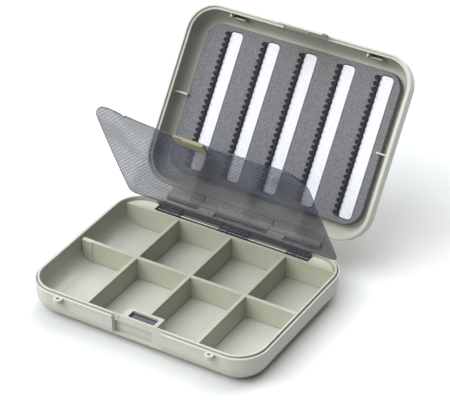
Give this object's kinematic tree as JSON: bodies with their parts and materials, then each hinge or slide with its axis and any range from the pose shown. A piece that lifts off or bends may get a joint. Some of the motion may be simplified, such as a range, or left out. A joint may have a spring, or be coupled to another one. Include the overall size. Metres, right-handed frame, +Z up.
{
  "type": "fly fishing box",
  "caption": "Clip-shut box for fishing flies, with a compartment tray under a clear flip cover and a foam-lined lid, standing open.",
  "frame": {"origin": "centre of the base's flat underside", "axes": "+X along the hinges to the right, -Y towards the latch side at the front, +Z up"},
  "size_m": [0.124, 0.1647, 0.0968],
  "materials": {
    "olive_plastic": "satin",
    "pale_plastic": "satin",
    "smoke_plastic": "gloss",
    "dark_plastic": "gloss",
    "grey_foam": "matte",
    "white_foam": "matte",
    "black_foam": "matte",
    "steel": "polished"
  },
  "bodies": {
    "base": {"base_shell": "olive_plastic", "compartment_insert": "pale_plastic", "catch_plate": "dark_plastic", "hinge_pin": "steel", "cover_rod": "steel"},
    "lid": {"lid_shell": "olive_plastic", "foam_pad": "grey_foam", "foam_strip_1": "white_foam", "foam_strip_2": "white_foam", "foam_strip_3": "white_foam", "foam_strip_4": "white_foam", "foam_strip_5": "white_foam", "slit_strip_1": "black_foam", "slit_strip_2": "black_foam", "slit_strip_3": "black_foam", "slit_strip_4": "black_foam", "slit_strip_5": "black_foam"},
    "cover": {"flip_cover": "smoke_plastic", "cover_catch": "olive_plastic"},
    "latch": {"latch_tab": "olive_plastic"}
  },
  "joints": [
    {"name": "lid_hinge", "type": "hinge", "parent": "base", "child": "lid", "pos_m": [0, 0.051, 0.0147], "axis": [1, 0, 0], "range_deg": [0, 125.8]},
    {"name": "cover_hinge", "type": "hinge", "parent": "base", "child": "cover", "pos_m": [0, 0.0409, 0.0128], "axis": [1, 0, 0], "range_deg": [0, 62.5]},
    {"name": "latch_flex", "type": "hinge", "parent": "lid", "child": "latch", "pos_m": [0, 0.11163, 0.0897], "axis": [1, 0, 0], "range_deg": [-9, 0], "stiffness_Nm_per_rad": 0.05}
  ],
  "couplings": [
    {"joint": "cover_hinge", "follows": "lid_hinge", "ratio": 0.4968}
  ]
}
